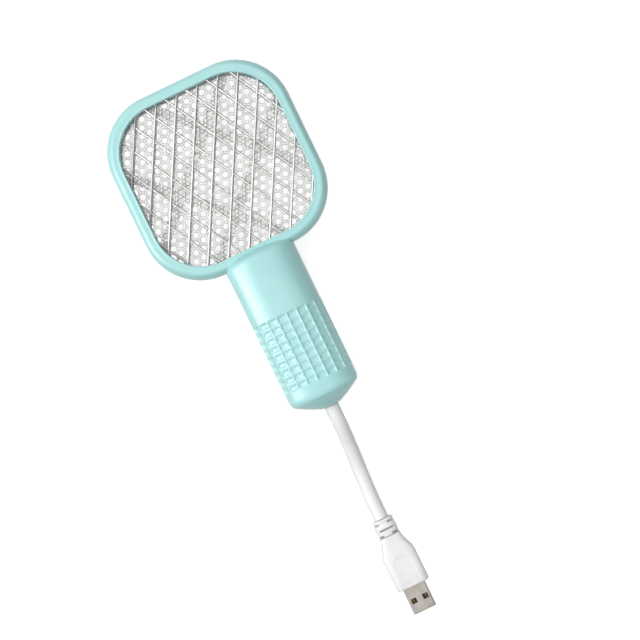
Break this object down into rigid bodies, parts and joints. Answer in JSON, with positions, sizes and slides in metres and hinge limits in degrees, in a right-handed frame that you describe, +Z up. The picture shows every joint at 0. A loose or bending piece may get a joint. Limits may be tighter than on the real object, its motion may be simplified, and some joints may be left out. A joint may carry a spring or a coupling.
{
  "type": "electric fly swatter",
  "caption": "Small electric fly swatter: a square meshed head on a round handle with a thumb button behind and a short captive charging lead ending in a plug.",
  "frame": {"origin": "on the surface that the swatter lies on, under the middle of the head and handle together (the lead is left out)", "axes": "+Z up out of the front of the mesh, +Y along the handle towards the head, the lead leaves towards -Y"},
  "size_m": [0.0966, 0.2908, 0.029],
  "materials": {
    "shell_teal": "glossy moulded ABS",
    "mesh_alloy": "bright polished aluminium alloy",
    "screw_steel": "zinc-plated steel",
    "spacer_grey": "natural grey moulded plastic",
    "lead_white": "soft white PVC",
    "button_white": "satin moulded ABS",
    "board_green": "solder-masked board",
    "black_plastic": "moulded black plastic",
    "ferrite": "ground ferrite",
    "winding_copper": "enamelled wire",
    "capacitor_red": "epoxy dipped",
    "wire_red": "PVC insulation",
    "cell_wrap": "blue shrink sleeve over a metal can",
    "foam_grey": "closed-cell foam tape",
    "clear_red": "tinted epoxy",
    "clear_window": "frosted clear plastic",
    "plug_shell": "nickel-plated steel",
    "contact_gold": "gold flashed"
  },
  "bodies": {
    "swatter": {"battery_cell": "cell_wrap", "battery_lead_black": "black_plastic", "battery_lead_red": "wire_red", "battery_pad": "foam_grey", "battery_tab_negative": "screw_steel", "battery_tab_positive": "screw_steel", "bleed_resistor": "spacer_grey", "button_spring": "screw_steel", "charge_chip": "black_plastic", "circuit_board": "board_green", "cord_gland": "lead_white", "drive_transistor": "black_plastic", "front_guard_grid": "mesh_alloy", "front_shell": "shell_teal", "front_spacer": "spacer_grey", "guard_lead": "black_plastic", "guard_link": "screw_steel", "handle_screw_1": "screw_steel", "handle_screw_2": "screw_steel", "handle_screw_3": "screw_steel", "handle_screw_4": "screw_steel", "head_screw_1": "screw_steel", "head_screw_2": "screw_steel", "head_screw_3": "screw_steel", "head_screw_4": "screw_steel", "indicator_led": "clear_red", "led_window": "clear_window", "live_grid": "mesh_alloy", "live_lead": "wire_red", "plug_body": "lead_white", "plug_relief": "lead_white", "rear_guard_grid": "mesh_alloy", "rear_shell": "shell_teal", "rectifier_diode_1": "black_plastic", "rectifier_diode_2": "black_plastic", "rectifier_diode_3": "black_plastic", "rib_spacer": "spacer_grey", "storage_capacitor": "capacitor_red", "supply_wire_black": "black_plastic", "supply_wire_red": "wire_red", "switch_body": "black_plastic", "transformer_core": "ferrite", "transformer_winding": "winding_copper", "usb_contact_1": "contact_gold", "usb_contact_2": "contact_gold", "usb_contact_3": "contact_gold", "usb_contact_4": "contact_gold", "usb_cord": "lead_white", "usb_shell": "plug_shell", "usb_tongue": "black_plastic"},
    "button": {"push_button": "button_white", "switch_plunger": "black_plastic"}
  },
  "joints": [
    {"name": "button_press", "type": "slide", "parent": "swatter", "child": "button", "axis": [0, 0, 1], "range_m": [0, 0.0012], "stiffness_N_per_m": 800, "springref_m": -0.001, "deforming": ["button_spring"]}
  ]
}
